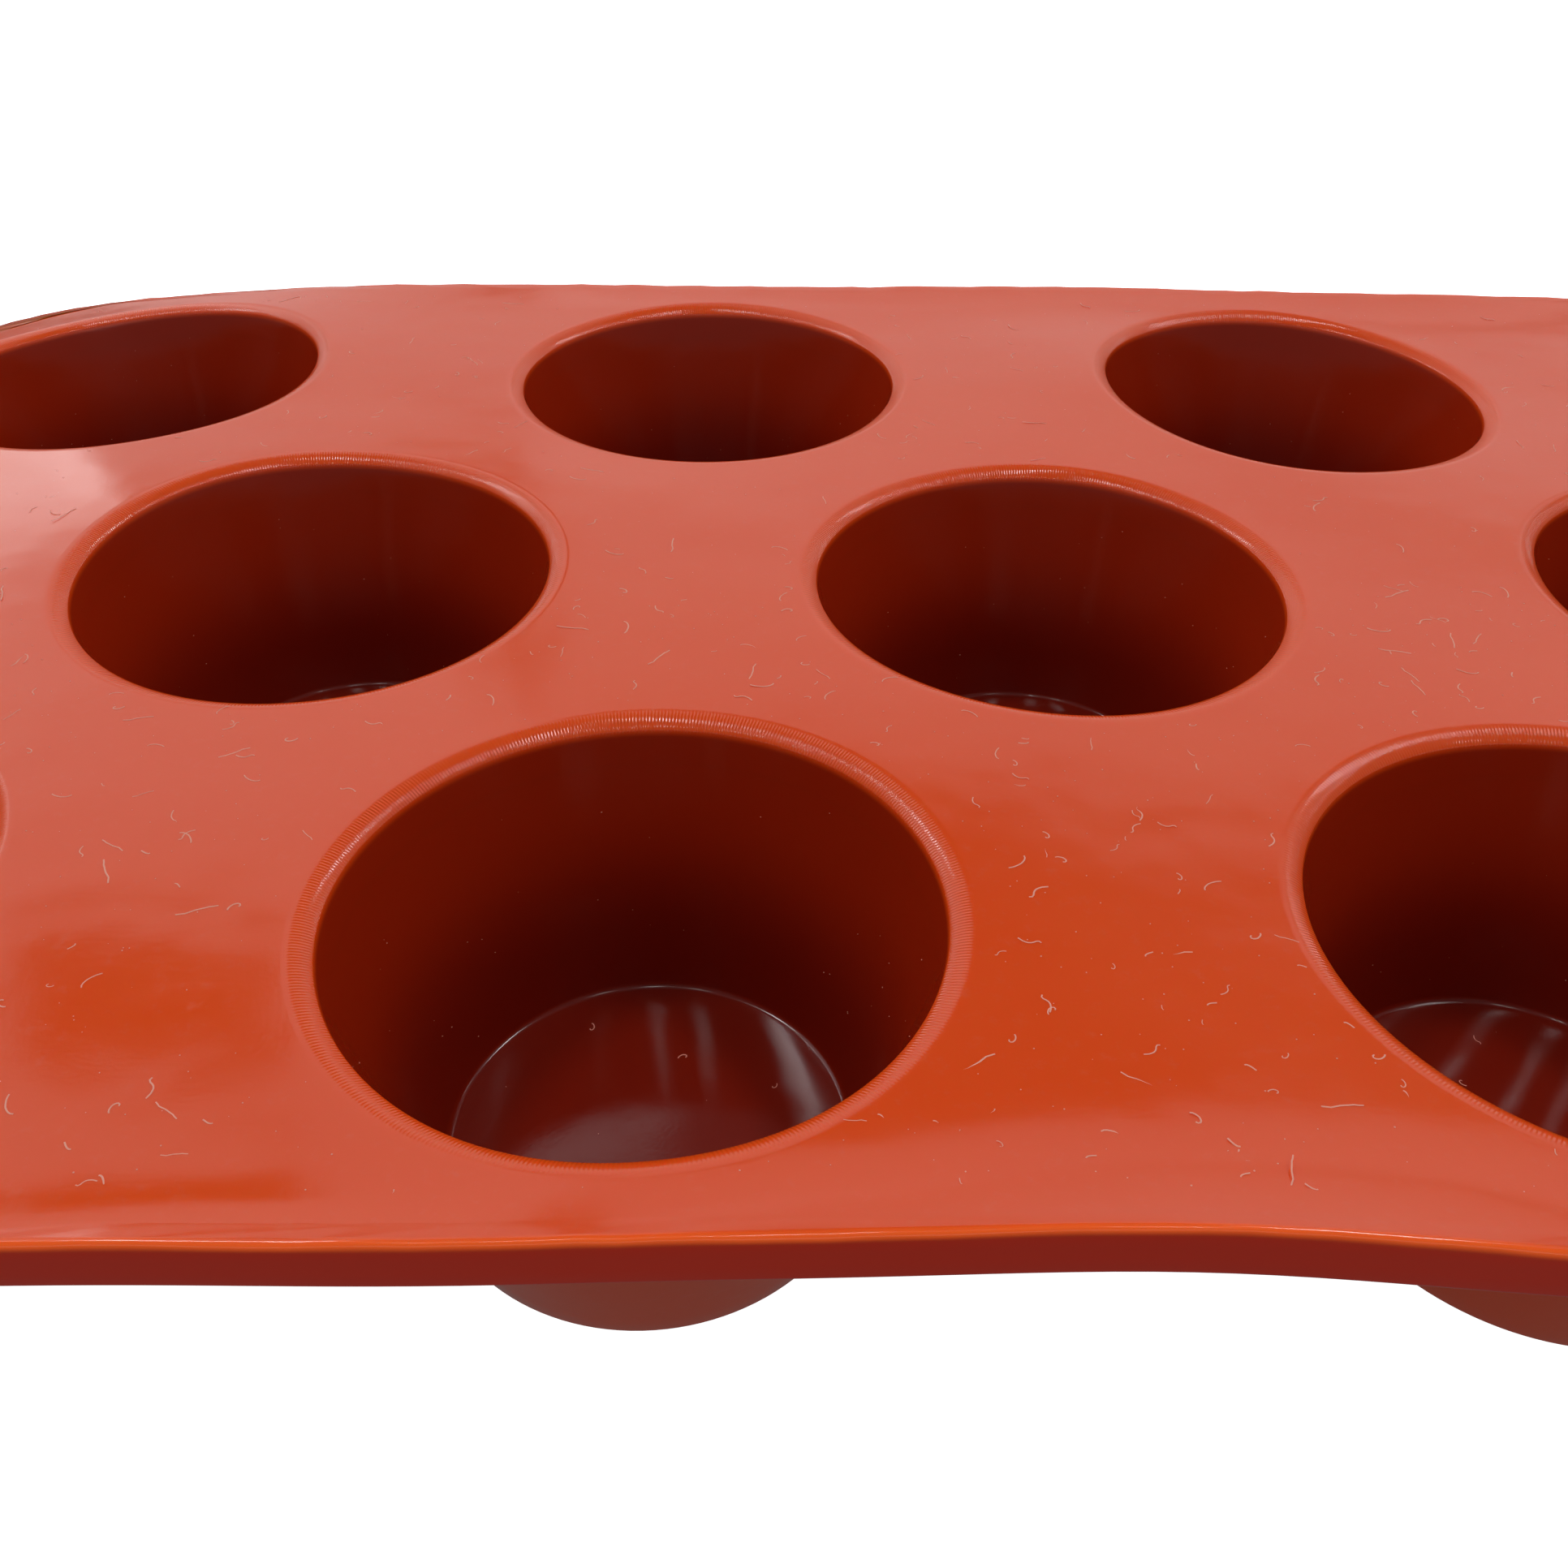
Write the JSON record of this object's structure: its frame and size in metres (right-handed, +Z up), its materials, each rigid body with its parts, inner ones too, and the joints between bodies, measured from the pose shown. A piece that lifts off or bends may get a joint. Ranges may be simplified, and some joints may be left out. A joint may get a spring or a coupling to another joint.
{
  "type": "muffin mould",
  "caption": "Flexible silicone muffin mould: tapered round cups in staggered rows, hung from a flat deck with a turned-down rim.",
  "frame": {"origin": "on the flat base of the middle cup, at its centre, which is also the middle of the mould's outline", "axes": "+X along the rows of cups (the mould's length), +Y from the front row to the back row, +Z up, out of the cups' mouths"},
  "size_m": [0.3, 0.175, 0.0295],
  "materials": {
    "silicone_deck": "satin terracotta-red silicone, slightly see-through where it is thin",
    "silicone_cup": "smooth, glossier terracotta-red silicone"
  },
  "bodies": {
    "root": {"deck": "silicone_deck", "rim": "silicone_deck", "cup_front_1": "silicone_cup", "cup_front_2": "silicone_cup", "cup_front_3": "silicone_cup", "cup_front_4": "silicone_cup", "cup_middle_1": "silicone_cup", "cup_middle_2": "silicone_cup", "cup_middle_3": "silicone_cup", "cup_back_1": "silicone_cup", "cup_back_2": "silicone_cup", "cup_back_3": "silicone_cup", "cup_back_4": "silicone_cup"}
  },
  "joints": []
}
